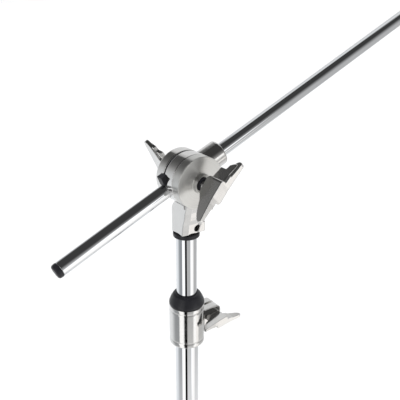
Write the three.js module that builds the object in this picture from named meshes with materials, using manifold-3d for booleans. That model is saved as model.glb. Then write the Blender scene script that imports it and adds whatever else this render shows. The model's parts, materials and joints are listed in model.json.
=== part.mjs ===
// Cymbal boom stand: a folding tripod, telescoping tubes, a tilting boom clamp, the boom, a cymbal tilter.
// Millimetres, +Z up. The boom lies in the XZ plane and rises towards +X; the tilt clamp's front faces -Y.
import * as THREE from 'three';
import { mergeVertices } from 'three/addons/utils/BufferGeometryUtils.js';
import Module from 'manifold-3d';

const wasm = await Module();
wasm.setup();

// ---- driving dimensions -------------------------------------------------------------------------

const GAP = 0.3;            // clearance kept between neighbouring pieces
const DEGREE = Math.PI / 180;

// column of three telescoping tubes: outer radius, bore radius, bottom and top heights
const HEAD_Z = 750;         // tilt axis above the floor
const BASE_TUBE = { radius: 14.3, bore: 12.6, bottom: 42, top: 440 };
const MID_TUBE = { radius: 11.1, bore: 10.0, bottom: 252, top: HEAD_Z - 127 };
const UPPER_TUBE = { radius: 9.525, bore: 8.4, bottom: 400, top: HEAD_Z - 54.9 };

// tube clamps
const LOWER_CLAMP = { bottom: 400, top: 441, radius: 19, dome: 10 };
const UPPER_CLAMP = { bottom: HEAD_Z - 168, top: HEAD_Z - 126.5, radius: 16.6, dome: 11.5 };
const CLAMP_EAR = { reach: 17, halfWidth: 9, height: 22, slit: 1.2 };
const CLAMP_SCREW_RADIUS = 3;

// tripod, worked out in the plane of one leg: radius from the column axis and height
const LEG_COUNT = 3;
const PIVOT_RADIUS = 30;
const HUB_PIVOT_Z = 60;
const LEG_SPREAD = 50 * DEGREE;       // leg from the vertical
const BRACE_SPREAD = 62 * DEGREE;     // brace from the vertical
const BRACE_REACH = 170;              // from the leg's top pivot to the brace's rivet, along the leg
const FOOT_CENTRE_Z = 14;
const BRACE_LENGTH = BRACE_REACH * Math.sin(LEG_SPREAD) / Math.sin(BRACE_SPREAD);
const COLLAR_RISE = BRACE_REACH * Math.cos(LEG_SPREAD) + BRACE_LENGTH * Math.cos(BRACE_SPREAD);
const COLLAR_PIVOT_Z = HUB_PIVOT_Z + COLLAR_RISE;
const LEG_LENGTH = (COLLAR_PIVOT_Z - FOOT_CENTRE_Z) / Math.cos(LEG_SPREAD);
const LEG_STRAP = { width: 16, inner: 6, outer: 8 };
const BRACE_STRAP = { width: 12, inner: 3.9, outer: 5.6 };
const RING_RADIUS = 20;
const LUG = { halfWidth: 3.5, tip: 7 };
const COLLAR_SCREW_Z = 2;             // above the collar's pivots
const PIVOT_PIN_RADIUS = 3;
const BRACE_PIN_RADIUS = 2.6;
const PEG_RADIUS = 5.6;
const FOOT = { radius: 15, height: 11, bootRadius: 10, bootLength: 24 };

// tilt head, measured from the tilt axis; FRONT values are distances towards -Y
const DISC_RADIUS = 23.2;
const EAR = { back: 13.2, front: 22 };
const CLAMP_FRONT = { back: 0.7, front: 12.8 };
const CLAMP_REAR = { front: -1.3, back: -12.3 };
const BOSS = { radius: 8.5, front: 28, bore: 6.6, recess: 24 };
const BOOM_Y = 0.25;
const EYE = { radius: 9.4, halfWidth: 4, shank: 4, end: 34 };
const BOOM_NUT = { hub: 12.8, grip: 20.8 };   // distances behind the tilt axis
const TILT_SCREW_RADIUS = 4;
const BRACKET = { halfWidth: 10.3, rear: -7.9, front: 8, bottom: -52 };
const SPIGOT_LENGTH = 28;
const NECK_RING = { radius: 12.1, bottom: -56.5, top: -52.3 };

// boom
const BOOM_TILT = 23.2 * DEGREE;
const BOOM = { radius: 6.35, bore: 5.1, rear: -132, front: 395 };
const SLEEVE = { radius: 11.6, end: 39 };

// cymbal tilter
const TILTER_PIVOT = 420;             // along the boom from the tilt axis
const TILTER_DISC = { radius: 12, thickness: 8 };
const SOCKET = { radius: 10, start: 370, end: 410 };
const ROD = { radius: 4, bottom: 15, top: 92 };
const CYMBAL_SLEEVE = { radius: 5.6, bottom: 28.6, top: 58 };
const FELT = { radius: 20, thickness: 11 };

// wing of a wing screw: outline seen from the side (along the wing, away from the part) and along its axis
const WING_SPAN = 30.4;
const TILT_WING_ANGLE = 42 * DEGREE;     // of the front wings, above +X
const BOOM_WING_ANGLE = 124 * DEGREE;    // of the rear wings, above +X
const SIDES = 20;             // of a turned piece
const FINE_SIDES = 32;        // of the tilt discs
const COARSE_SIDES = 12;      // of pins, screws and their holes

// ---- materials ----------------------------------------------------------------------------------

const CHROME = { color: 0xc9ccd0, roughness: 0.08, metalness: 1 };
const SATIN = { color: 0xc6c6c6, roughness: 0.34, metalness: 1 };
const STEEL = { color: 0xb2b4b6, roughness: 0.3, metalness: 1 };
const BLACK_PLASTIC = { color: 0x141416, roughness: 0.45, metalness: 0 };
const RUBBER = { color: 0x1a1a1a, roughness: 0.85, metalness: 0 };
const FELT_GREY = { color: 0x3c3c40, roughness: 0.95, metalness: 0 };

// ---- solids -------------------------------------------------------------------------------------

function toSolid(geometry) {
  const bare = geometry.clone();
  bare.deleteAttribute('normal');
  bare.deleteAttribute('uv');
  const merged = mergeVertices(bare, 1e-4);
  const triangles = [];
  for (let i = 0; i < merged.index.count; i += 3) {
    const corners = [merged.index.getX(i), merged.index.getX(i + 1), merged.index.getX(i + 2)];
    if (new Set(corners).size === 3) triangles.push(...corners);
  }
  const vertProperties = new Float32Array(merged.attributes.position.array);
  const triVerts = new Uint32Array(triangles);
  return new wasm.Manifold(new wasm.Mesh({ numProp: 3, vertProperties, triVerts }));
}

function toGeometry(solid) {
  const mesh = solid.getMesh();
  const geometry = new THREE.BufferGeometry();
  geometry.setAttribute('position', new THREE.BufferAttribute(mesh.vertProperties, 3));
  geometry.setIndex(new THREE.BufferAttribute(mesh.triVerts, 1));
  const faceted = geometry.toNonIndexed();
  faceted.computeVertexNormals();
  return faceted;
}

function combine(method, first, others) {
  return toGeometry(others.reduce((solid, other) => solid[method](toSolid(other)), toSolid(first)));
}

const join = (first, ...others) => combine('add', first, others);
const cut = (first, ...others) => combine('subtract', first, others);
const overlap = (first, ...others) => combine('intersect', first, others);

// a turned solid about Z; points are [radius, z], counter-clockwise, from axis to axis or back to the first
function turned(points, sides = SIDES) {
  const profile = points.map(([radius, z]) => new THREE.Vector2(radius, z));
  return new THREE.LatheGeometry(profile, sides).rotateX(Math.PI / 2);
}

function rod(radius, bottom, top, sides = SIDES) {
  return turned([[0, bottom], [radius, bottom], [radius, top], [0, top]], sides);
}

function sleeve(outer, inner, bottom, top, sides = SIDES) {
  return turned([[outer, bottom], [outer, top], [inner, top], [inner, bottom], [outer, bottom]], sides);
}

function block(low, high) {
  const size = high.map((value, i) => value - low[i]);
  return new THREE.BoxGeometry(...size).translate(...low.map((value, i) => value + size[i] / 2));
}

function plate(outline, bottom, top) {
  const shape = outline instanceof THREE.Shape
    ? outline
    : new THREE.Shape(outline.map(([x, y]) => new THREE.Vector2(x, y)));
  const options = { depth: top - bottom, bevelEnabled: false, curveSegments: 4 };
  return new THREE.ExtrudeGeometry(shape, options).translate(0, 0, bottom);
}

// turns a solid made along Z so that its Z points to the front (-Y) and its Y points up
const towardsFront = (geometry) => geometry.rotateX(Math.PI / 2);
// a round hole, bored from one distance to the front to another
const crossHole = (radius, back, front) => towardsFront(rod(radius, back, front, COARSE_SIDES));
// turns a solid made along Z so that its Z points along X
const alongX = (geometry) => geometry.rotateY(Math.PI / 2);
// turns an outline of [front, height] points, extruded along Z, into the YZ plane
function sideOn(geometry) {
  const toFront = new THREE.Vector3(0, -1, 0);
  const up = new THREE.Vector3(0, 0, 1);
  const across = new THREE.Vector3(-1, 0, 0);
  return geometry.applyMatrix4(new THREE.Matrix4().makeBasis(toFront, up, across));
}

function strapOutline(length, width, holes) {
  const half = width / 2;
  const shape = new THREE.Shape();
  shape.moveTo(0, -half);
  shape.lineTo(length, -half);
  shape.absarc(length, 0, half, -Math.PI / 2, Math.PI / 2, false);
  shape.lineTo(0, half);
  shape.absarc(0, 0, half, Math.PI / 2, 3 * Math.PI / 2, false);
  for (const [x, radius] of holes) {
    shape.holes.push(new THREE.Path().absarc(x, 0, radius, 0, 2 * Math.PI, true));
  }
  return shape;
}

// ---- scene helpers ------------------------------------------------------------------------------

function frame(parent, position = [0, 0, 0], rotation = [0, 0, 0]) {
  const group = new THREE.Group();
  group.position.set(...position);
  group.rotation.set(...rotation);
  parent.add(group);
  return group;
}

function piece(parent, name, geometry, finish, position = [0, 0, 0], rotation = [0, 0, 0]) {
  const mesh = new THREE.Mesh(geometry, new THREE.MeshStandardMaterial(finish));
  mesh.name = name;
  mesh.position.set(...position);
  mesh.rotation.set(...rotation);
  parent.add(mesh);
  return mesh;
}

// ---- wing screws --------------------------------------------------------------------------------

// A two-winged grip that starts at Z 0. Z is the screw's axis, away from the part; the wings lie along X.
function wingGrip(scale = 1) {
  const span = WING_SPAN;
  const half = [[0, 0], [7, 0], [13.5, 5], [20, 8.4], [25, 11.2], [span, 16.4], [28.4, 19.8], [12, 18.4],
    [0, 18.1]];
  const mirrored = half.slice(1, -1).reverse().map(([x, z]) => [-x, z]);
  const side = plate([...half, ...mirrored], -10, 10).rotateX(Math.PI / 2);
  const leading = [[-span, 0.9], [6, 6.6], [8.3, 5.6], [8.6, 2.4], [15, 3.1], [16, 2], [span, 2.6],
    [span, -0.9]];
  const trailing = leading.slice(1).map(([x, y]) => [-x, -y]).slice(0, -1);
  const front = plate([...leading, ...trailing].reverse(), -1, 24);
  return overlap(side, front).scale(scale, scale, scale);
}

function wingScrew(shaftRadius, shaftLength, scale = 1) {
  const shaft = rod(shaftRadius, -shaftLength, 2 * scale, COARSE_SIDES);
  return join(wingGrip(scale), shaft, rod(7 * scale, 0, 9 * scale, COARSE_SIDES));
}

// the hub may stand out behind the grip, towards the part
function wingNut(boltRadius, boltEnd, scale = 1, hubStart = 0) {
  const hub = rod(7.5 * scale, hubStart, 10 * scale, COARSE_SIDES);
  return cut(join(wingGrip(scale), hub), rod(boltRadius + GAP, hubStart - 1, boltEnd, COARSE_SIDES));
}

// ---- tubes and their clamps ---------------------------------------------------------------------

function addTube(parent, name, tube) {
  piece(parent, name, sleeve(tube.radius, tube.bore, tube.bottom, tube.top), CHROME);
}

// plug on a sliding tube's lower end that runs in the bore of the tube outside it
function addTubeGuide(parent, name, tube, outerBore) {
  const flange = rod(outerBore - GAP, tube.bottom - 14, tube.bottom - GAP);
  const spigot = rod(tube.bore - GAP, tube.bottom - 4, tube.bottom + 12);
  piece(parent, name, join(flange, spigot), BLACK_PLASTIC);
}

function clampBody(clamp, tubeRadius) {
  const earEnd = clamp.radius + CLAMP_EAR.reach;
  const middle = (clamp.bottom + clamp.top) / 2;
  const low = middle - CLAMP_EAR.height / 2;
  const high = middle + CLAMP_EAR.height / 2;
  const ear = block([clamp.radius - 3, -CLAMP_EAR.halfWidth, low], [earEnd, CLAMP_EAR.halfWidth, high]);
  const slit = block([0, -CLAMP_EAR.slit, clamp.bottom - 1], [earEnd + 1, CLAMP_EAR.slit, clamp.top + 1]);
  const screwHole = crossHole(CLAMP_SCREW_RADIUS + GAP, -20, 20).translate(clampScrewX(clamp), 0, middle);
  const bore = rod(tubeRadius + GAP, clamp.bottom - 1, clamp.top + 1);
  return cut(join(rod(clamp.radius, clamp.bottom, clamp.top), ear), bore, slit, screwHole);
}

const clampScrewX = (clamp) => clamp.radius + CLAMP_EAR.reach / 2 + 1;

function bushDome(clamp, innerTubeRadius) {
  const bottom = clamp.top + GAP;
  const top = clamp.top + clamp.dome;
  const inner = innerTubeRadius + 0.2;
  const profile = [[clamp.radius, bottom], [clamp.radius, bottom + 2], [clamp.radius - 1.2, bottom + 5.5],
    [clamp.radius - 3.6, top - 1.2], [inner + 1.2, top], [inner, top], [inner, bottom],
    [clamp.radius, bottom]];
  return turned(profile);
}

function addTubeClamp(parent, prefix, clamp, outerTube, innerTube) {
  const middle = (clamp.bottom + clamp.top) / 2;
  const screwX = clampScrewX(clamp);
  piece(parent, `${prefix}_body`, clampBody(clamp, outerTube.radius), SATIN);
  piece(parent, `${prefix}_bush`, bushDome(clamp, innerTube.radius), BLACK_PLASTIC);
  const screw = towardsFront(wingScrew(CLAMP_SCREW_RADIUS, 26, 0.72));
  piece(parent, `${prefix}_wing_screw`, screw, SATIN, [screwX, -CLAMP_EAR.halfWidth - GAP, middle]);
  const nut = cut(rod(6.2, 0, 5, 6), rod(CLAMP_SCREW_RADIUS + GAP, -1, 6, COARSE_SIDES));
  piece(parent, `${prefix}_nut`, towardsFront(nut), STEEL, [screwX, CLAMP_EAR.halfWidth + GAP + 5, middle]);
}

// ---- tripod -------------------------------------------------------------------------------------

const legAngle = (index) => index * 2 * Math.PI / LEG_COUNT;

// ring on the base tube with one lug for each leg; the lugs' pivots are at height 0
function luggedRing(bottom, top) {
  let solid = rod(RING_RADIUS, bottom, top);
  const lugs = [];
  const holes = [];
  for (let i = 0; i < LEG_COUNT; i += 1) {
    const start = RING_RADIUS - 4;
    const reach = PIVOT_RADIUS - start;
    const outline = strapOutline(reach, 2 * LUG.tip, []);
    const lug = plate(outline, -LUG.halfWidth, LUG.halfWidth).rotateX(Math.PI / 2).translate(start, 0, 0);
    const hole = crossHole(PIVOT_PIN_RADIUS + GAP, -9, 9).translate(PIVOT_RADIUS, 0, 0);
    lugs.push(lug.rotateZ(legAngle(i)));
    holes.push(hole.rotateZ(legAngle(i)));
  }
  solid = join(solid, ...lugs);
  return cut(solid, rod(BASE_TUBE.radius + GAP, bottom - 9, top + 9), ...holes);
}

function legBody() {
  const strapEnd = LEG_LENGTH - FOOT.bootLength - 6;
  const outline = strapOutline(strapEnd, LEG_STRAP.width, [[0, PIVOT_PIN_RADIUS + GAP]]);
  const rivet = (from, to) => towardsFront(rod(4.5, from, to, COARSE_SIDES)).translate(BRACE_REACH, 0, 0);
  const sunk = LEG_STRAP.inner + 0.8;
  const proud = LEG_STRAP.outer + 1.6;
  const near = plate(outline, LEG_STRAP.inner, LEG_STRAP.outer).rotateX(Math.PI / 2);
  const far = plate(outline, -LEG_STRAP.outer, -LEG_STRAP.inner).rotateX(Math.PI / 2);
  const halfWidth = LEG_STRAP.outer - 0.4;
  const end = block([strapEnd - 14, -halfWidth, -6.6], [strapEnd + 2, halfWidth, 6.6]);
  const peg = alongX(rod(PEG_RADIUS, strapEnd, LEG_LENGTH + 2, COARSE_SIDES));
  return join(near, far, end, peg, rivet(-proud, -sunk), rivet(sunk, proud));
}

function braceBody() {
  const holes = [[0, PIVOT_PIN_RADIUS + GAP], [BRACE_LENGTH, BRACE_PIN_RADIUS + GAP]];
  const outline = strapOutline(BRACE_LENGTH, BRACE_STRAP.width, holes);
  const near = plate(outline, BRACE_STRAP.inner, BRACE_STRAP.outer).rotateX(Math.PI / 2);
  const far = plate(outline, -BRACE_STRAP.outer, -BRACE_STRAP.inner).rotateX(Math.PI / 2);
  const middle = BRACE_LENGTH / 2;
  const web = block([middle - 12, -BRACE_STRAP.outer + 0.5, -3], [middle + 12, BRACE_STRAP.outer - 0.5, 3]);
  return join(near, far, web);
}

// boot on the leg's end, flat where it stands; made at rest with the column axis at X 0
function footBody() {
  const legX = PIVOT_RADIUS + LEG_LENGTH * Math.sin(LEG_SPREAD);
  const alongLeg = (geometry) => geometry.rotateY(-LEG_SPREAD).translate(legX, 0, FOOT_CENTRE_Z);
  const pad = turned([[0, 0], [FOOT.radius - 1, 0], [FOOT.radius, 1], [FOOT.radius, FOOT.height - 4],
    [FOOT.radius - 3, FOOT.height], [0, FOOT.height]]).translate(legX, 0, 0);
  const boot = alongLeg(rod(FOOT.bootRadius, -3, FOOT.bootLength - 3));
  const bore = alongLeg(rod(PEG_RADIUS + GAP, -2 - GAP, FOOT.bootLength + 9, COARSE_SIDES));
  return cut(join(pad, boot), bore);
}

function addLeg(parent, index) {
  const number = index + 1;
  const plane = frame(parent, [0, 0, 0], [0, 0, legAngle(index)]);
  const legTilt = [0, Math.PI / 2 - LEG_SPREAD, 0];
  piece(plane, `leg_${number}`, legBody(), CHROME, [PIVOT_RADIUS, 0, COLLAR_PIVOT_Z], legTilt);
  piece(plane, `rubber_foot_${number}`, footBody(), RUBBER);
  const braceTilt = [0, BRACE_SPREAD - Math.PI / 2, 0];
  const brace = frame(plane, [PIVOT_RADIUS, 0, HUB_PIVOT_Z], braceTilt);
  piece(brace, `brace_${number}`, braceBody(), CHROME);
  const reach = LEG_STRAP.inner - GAP;
  const bracePin = towardsFront(rod(BRACE_PIN_RADIUS, -reach, reach, COARSE_SIDES));
  piece(brace, `brace_end_pin_${number}`, bracePin, STEEL, [BRACE_LENGTH, 0, 0]);
  const legPin = towardsFront(rod(PIVOT_PIN_RADIUS, -9.5, 9.5, COARSE_SIDES));
  piece(plane, `leg_pivot_pin_${number}`, legPin, STEEL, [PIVOT_RADIUS, 0, COLLAR_PIVOT_Z]);
  const hubPin = towardsFront(rod(PIVOT_PIN_RADIUS, -7, 7, COARSE_SIDES));
  piece(plane, `brace_pivot_pin_${number}`, hubPin, STEEL, [PIVOT_RADIUS, 0, HUB_PIVOT_Z]);
}

// the collar's screw stands between two legs, in a boss of its own
function legCollar() {
  const towardsScrew = (radius, start, end) => alongX(rod(radius, start, end, COARSE_SIDES))
    .rotateZ(Math.PI / LEG_COUNT).translate(0, 0, COLLAR_SCREW_Z);
  const boss = towardsScrew(7, RING_RADIUS - 3, RING_RADIUS + 6);
  const hole = towardsScrew(CLAMP_SCREW_RADIUS + GAP, BASE_TUBE.radius - 2, RING_RADIUS + 9);
  const bore = rod(BASE_TUBE.radius + GAP, -20, 20);
  return cut(join(luggedRing(-9, 13), boss), hole, bore);
}

function addTripod(parent) {
  addTube(parent, 'base_tube', BASE_TUBE);
  const plugTop = BASE_TUBE.bottom;
  const plug = join(rod(BASE_TUBE.radius + 1, plugTop - 7, plugTop - GAP),
    rod(BASE_TUBE.bore - GAP, plugTop - 3, plugTop + 14));
  piece(parent, 'base_end_plug', plug, BLACK_PLASTIC);
  piece(parent, 'brace_hub', luggedRing(-9, 9), SATIN, [0, 0, HUB_PIVOT_Z]);
  piece(parent, 'leg_collar', legCollar(), SATIN, [0, 0, COLLAR_PIVOT_Z]);
  const screw = alongX(wingScrew(CLAMP_SCREW_RADIUS, 11.5, 0.72));
  const screwFrame = frame(parent, [0, 0, COLLAR_PIVOT_Z + COLLAR_SCREW_Z], [0, 0, Math.PI / LEG_COUNT]);
  piece(screwFrame, 'leg_collar_wing_screw', screw, SATIN, [RING_RADIUS + 6 + GAP, 0, 0]);
  for (let i = 0; i < LEG_COUNT; i += 1) addLeg(parent, i);
}

// ---- tilt head ----------------------------------------------------------------------------------

const alongBoom = (geometry) => alongX(geometry).translate(0, BOOM_Y, 0).rotateY(-BOOM_TILT);
const boomChannel = () => alongBoom(rod(BOOM.radius + GAP, -60, 60));
const eyeRecess = () => alongBoom(rod(EYE.radius + GAP, -EYE.halfWidth - GAP, EYE.halfWidth + GAP));
const disc = (back, front, radius = DISC_RADIUS) => towardsFront(rod(radius, back, front, FINE_SIDES));

function tiltBracket() {
  const ear = towardsFront(turned([[0, EAR.back], [DISC_RADIUS, EAR.back], [DISC_RADIUS, EAR.front],
    [BOSS.radius + 1, EAR.front + 0.9], [BOSS.radius, EAR.front + 1.6], [BOSS.radius, BOSS.front],
    [BOSS.bore, BOSS.front], [BOSS.bore, BOSS.recess], [0, BOSS.recess]], FINE_SIDES));
  const neckSide = [[BRACKET.rear, BRACKET.bottom], [BRACKET.front, BRACKET.bottom], [15.5, -22],
    [EAR.front - 0.5, -17], [EAR.front - 0.5, -10], [BRACKET.rear + 4, -10], [BRACKET.rear, -22]];
  const neck = sideOn(plate(neckSide, -BRACKET.halfWidth, BRACKET.halfWidth));
  const discRoom = disc(-30, CLAMP_FRONT.front + GAP, DISC_RADIUS + 0.6);
  const screwBoss = block([-1, -9.2, BRACKET.bottom], [14, 0, -42.5]);
  const spigot = rod(UPPER_TUBE.bore - GAP, BRACKET.bottom - SPIGOT_LENGTH, BRACKET.bottom + 2);
  const screwHole = crossHole(TILT_SCREW_RADIUS + GAP, EAR.back - 1, BOSS.front + 1);
  const setScrewHole = crossHole(3.3, 3.7, 12).translate(5.5, 0, -46.5);
  const body = join(cut(neck, discRoom), ear, screwBoss, spigot);
  return cut(body, screwHole, setScrewHole);
}

function boomClampFront() {
  const half = disc(CLAMP_FRONT.back, CLAMP_FRONT.front);
  const rearDiscRoom = disc(-20, CLAMP_FRONT.back, DISC_RADIUS + 0.4);
  const boss = cut(alongBoom(rod(SLEEVE.radius, 14, SLEEVE.end)), rearDiscRoom);
  const screwHole = crossHole(TILT_SCREW_RADIUS + GAP, 9.9, CLAMP_FRONT.front + 1);
  return cut(join(half, boss), boomChannel(), eyeRecess(), screwHole, linerBlock(GAP));
}

function boomClampRear() {
  const half = disc(CLAMP_REAR.back, CLAMP_REAR.front);
  const shankHole = crossHole(EYE.shank + GAP, CLAMP_REAR.back - 1, 0);
  return cut(half, boomChannel(), eyeRecess(), shankHole, linerBlock(GAP));
}

// black block of the liner in the discs' edge, above the boom's rear arm; grow widens it for its recess
function linerBlock(grow = 0) {
  const low = [-DISC_RADIUS - 0.3 - grow, -3.4 - grow, BOOM.radius + GAP - grow];
  const high = [-18 + grow, 3.8 + grow, 15 + grow];
  return block(low, high).rotateY(-BOOM_TILT);
}

function boomLiner() {
  const ring = disc(CLAMP_REAR.front + GAP, CLAMP_FRONT.back - GAP, DISC_RADIUS - 0.5);
  const upperHalf = block([-30, -20, BOOM.radius + 0.6], [30, 20, 30]).rotateY(-BOOM_TILT);
  const eyeRoom = alongBoom(rod(EYE.radius + 2 * GAP, -EYE.halfWidth - 1, EYE.halfWidth + 1));
  return join(cut(overlap(ring, upperHalf), eyeRoom), linerBlock());
}

function eyeBolt() {
  const eye = alongBoom(sleeve(EYE.radius, BOOM.radius + 0.2, -EYE.halfWidth, EYE.halfWidth));
  const shank = towardsFront(rod(EYE.shank, -EYE.end, -EYE.radius + 1.5, COARSE_SIDES));
  return join(eye, shank);
}

function addTiltHead(parent) {
  const head = frame(parent, [0, 0, HEAD_Z]);
  piece(head, 'tilt_bracket', tiltBracket(), SATIN);
  const ringProfile = [[NECK_RING.radius, NECK_RING.bottom], [NECK_RING.radius, NECK_RING.top],
    [UPPER_TUBE.bore, NECK_RING.top], [UPPER_TUBE.bore, NECK_RING.top - 2],
    [UPPER_TUBE.radius + 0.2, NECK_RING.top - 2], [UPPER_TUBE.radius + 0.2, NECK_RING.bottom],
    [NECK_RING.radius, NECK_RING.bottom]];
  piece(head, 'neck_ring', turned(ringProfile), BLACK_PLASTIC);
  const setScrew = cut(rod(3, 4, 9.4, COARSE_SIDES), rod(1.5, 6.5, 12, 6));
  piece(head, 'bracket_set_screw', towardsFront(setScrew), STEEL, [5.5, 0, -46.5]);
  const tiltWasher = sleeve(BOSS.bore - GAP, TILT_SCREW_RADIUS + GAP, BOSS.recess + GAP, BOSS.front - 0.6);
  piece(head, 'tilt_washer', towardsFront(tiltWasher), BLACK_PLASTIC);
  piece(head, 'boom_clamp_front', boomClampFront(), SATIN);
  piece(head, 'boom_clamp_rear', boomClampRear(), SATIN);
  piece(head, 'boom_liner', boomLiner(), BLACK_PLASTIC);
  piece(head, 'boom_eye_bolt', eyeBolt(), STEEL);
  const tiltScrew = wingScrew(TILT_SCREW_RADIUS, 20.6).rotateZ(TILT_WING_ANGLE);
  piece(head, 'tilt_wing_screw', towardsFront(tiltScrew), SATIN, [0, -30.8, 0]);
  const boltEnd = EYE.end + 1 - BOOM_NUT.grip;
  const boomNut = wingNut(EYE.shank, boltEnd, 1, BOOM_NUT.hub - BOOM_NUT.grip).rotateZ(-BOOM_WING_ANGLE);
  piece(head, 'boom_wing_nut', boomNut.rotateX(-Math.PI / 2), SATIN, [0, BOOM_NUT.grip, 0]);
}

function addBoom(parent) {
  const boom = frame(parent, [0, BOOM_Y, HEAD_Z], [0, -BOOM_TILT, 0]);
  piece(boom, 'boom_tube', alongX(sleeve(BOOM.radius, BOOM.bore, BOOM.rear, BOOM.front)), CHROME);
  const cap = turned([[0, -5], [BOOM.radius - 1, -5], [BOOM.radius, -3.5], [BOOM.radius, -GAP],
    [BOOM.bore - GAP, -GAP], [BOOM.bore - GAP, 10], [0, 10]]);
  piece(boom, 'boom_end_cap', alongX(cap), BLACK_PLASTIC, [BOOM.rear, 0, 0]);
}

// ---- cymbal tilter ------------------------------------------------------------------------------

function tilterBody() {
  const socket = alongX(rod(SOCKET.radius, SOCKET.start, SOCKET.end));
  const lug = towardsFront(rod(TILTER_DISC.radius, GAP, TILTER_DISC.thickness));
  lug.translate(TILTER_PIVOT, 0, 0);
  const arm = block([SOCKET.end - 8, -TILTER_DISC.thickness, -7], [TILTER_PIVOT, -GAP, 7]);
  const bore = alongX(rod(BOOM.radius + GAP, SOCKET.start - 1, BOOM.front + GAP));
  const screwHole = crossHole(CLAMP_SCREW_RADIUS + GAP, -9, 20).translate(TILTER_PIVOT, 0, 0);
  const headRoom = towardsFront(rod(TILTER_DISC.radius + 1, -20, GAP)).translate(TILTER_PIVOT, 0, 0);
  return cut(join(socket, lug, arm), bore, screwHole, headRoom);
}

function tilterHead() {
  const lug = towardsFront(rod(TILTER_DISC.radius, -TILTER_DISC.thickness, -GAP));
  const seat = block([-7, GAP, 0], [7, TILTER_DISC.thickness, 14]);
  const rodSocket = rod(8.5, 14, 25);
  const screwHole = crossHole(CLAMP_SCREW_RADIUS + GAP, -20, 9);
  const rodHole = rod(ROD.radius + GAP, ROD.bottom - GAP, 40, COARSE_SIDES);
  return cut(join(lug, seat, rodSocket), screwHole, rodHole);
}

function addCymbalSeat(parent) {
  piece(parent, 'cymbal_rod', rod(ROD.radius, ROD.bottom, ROD.top, COARSE_SIDES), STEEL);
  const bore = ROD.radius + GAP;
  const washer = turned([[17, 25.4], [18.5, 27], [18.5, 28], [bore, 28], [bore, 25.4], [17, 25.4]]);
  piece(parent, 'cup_washer', washer, CHROME);
  const tube = sleeve(CYMBAL_SLEEVE.radius, bore, CYMBAL_SLEEVE.bottom, CYMBAL_SLEEVE.top);
  piece(parent, 'cymbal_sleeve', tube, BLACK_PLASTIC);
  const feltBore = CYMBAL_SLEEVE.radius + GAP;
  const lowerTop = CYMBAL_SLEEVE.bottom + FELT.thickness;
  piece(parent, 'lower_felt', sleeve(FELT.radius, feltBore, CYMBAL_SLEEVE.bottom, lowerTop), FELT_GREY);
  const upperBottom = lowerTop + 2;
  const upperTop = upperBottom + FELT.thickness;
  piece(parent, 'upper_felt', sleeve(FELT.radius - 2, feltBore, upperBottom, upperTop), FELT_GREY);
  const nut = wingNut(ROD.radius, 30, 0.8);
  piece(parent, 'cymbal_wing_nut', nut, SATIN, [0, 0, CYMBAL_SLEEVE.top + GAP]);
}

function addTilter(parent) {
  const boom = frame(parent, [0, BOOM_Y, HEAD_Z], [0, -BOOM_TILT, 0]);
  piece(boom, 'tilter_body', tilterBody(), SATIN);
  const pivotX = TILTER_PIVOT * Math.cos(BOOM_TILT);
  const pivotZ = HEAD_Z + TILTER_PIVOT * Math.sin(BOOM_TILT);
  const pivot = frame(parent, [pivotX, BOOM_Y, pivotZ]);
  piece(pivot, 'tilter_head', tilterHead(), SATIN);
  const screw = towardsFront(wingScrew(CLAMP_SCREW_RADIUS, 15, 0.6));
  piece(pivot, 'tilter_wing_screw', screw, SATIN, [0, -TILTER_DISC.thickness - GAP, 0]);
  addCymbalSeat(pivot);
}

// ---- the stand ----------------------------------------------------------------------------------

function addColumn(parent) {
  addTubeClamp(parent, 'lower_clamp', LOWER_CLAMP, BASE_TUBE, MID_TUBE);
  addTube(parent, 'mid_tube', MID_TUBE);
  addTubeGuide(parent, 'mid_tube_guide', MID_TUBE, BASE_TUBE.bore);
  addTubeClamp(parent, 'upper_clamp', UPPER_CLAMP, MID_TUBE, UPPER_TUBE);
  addTube(parent, 'upper_tube', UPPER_TUBE);
  addTubeGuide(parent, 'upper_tube_guide', UPPER_TUBE, MID_TUBE.bore);
}

// moves the stand so that the origin is under the middle of its bounding box, on the floor
function centreOnFloor(group) {
  const box = new THREE.Box3().setFromObject(group);
  const centre = box.getCenter(new THREE.Vector3());
  group.position.set(-centre.x, -centre.y, -box.min.z);
}

const stand = new THREE.Group();
addTripod(stand);
addColumn(stand);
addTiltHead(stand);
addBoom(stand);
addTilter(stand);
centreOnFloor(stand);

export default stand;
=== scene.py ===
"""The looks of the cymbal boom stand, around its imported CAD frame. Outlines are in millimetres."""
import json
import math
import random

import bmesh
import bpy
from mathutils import Matrix, Vector
from mathutils.noise import noise as perlin


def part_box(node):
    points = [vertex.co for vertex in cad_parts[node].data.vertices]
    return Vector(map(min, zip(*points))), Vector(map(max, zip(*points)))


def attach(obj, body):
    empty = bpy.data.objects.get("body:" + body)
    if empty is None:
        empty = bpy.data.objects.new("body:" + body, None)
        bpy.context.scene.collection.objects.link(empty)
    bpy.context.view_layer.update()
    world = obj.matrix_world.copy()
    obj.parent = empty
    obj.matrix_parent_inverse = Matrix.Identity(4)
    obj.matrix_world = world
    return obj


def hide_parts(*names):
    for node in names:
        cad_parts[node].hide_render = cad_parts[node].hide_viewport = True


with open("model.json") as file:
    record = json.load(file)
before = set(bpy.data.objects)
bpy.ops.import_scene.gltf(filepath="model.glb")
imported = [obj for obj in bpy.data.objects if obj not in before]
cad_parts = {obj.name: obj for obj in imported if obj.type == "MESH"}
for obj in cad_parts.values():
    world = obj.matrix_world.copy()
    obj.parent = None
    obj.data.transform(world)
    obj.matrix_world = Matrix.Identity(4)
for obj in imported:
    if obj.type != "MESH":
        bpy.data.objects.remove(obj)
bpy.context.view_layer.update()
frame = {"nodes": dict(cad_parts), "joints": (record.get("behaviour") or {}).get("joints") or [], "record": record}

MM = 0.001
JOINTS = {joint["name"]: joint for joint in frame["joints"]}
BODIES = frame["record"]["behaviour"]["bodies"]
BODY_OF = {node: body for body, nodes in BODIES.items() for node in nodes}
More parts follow.
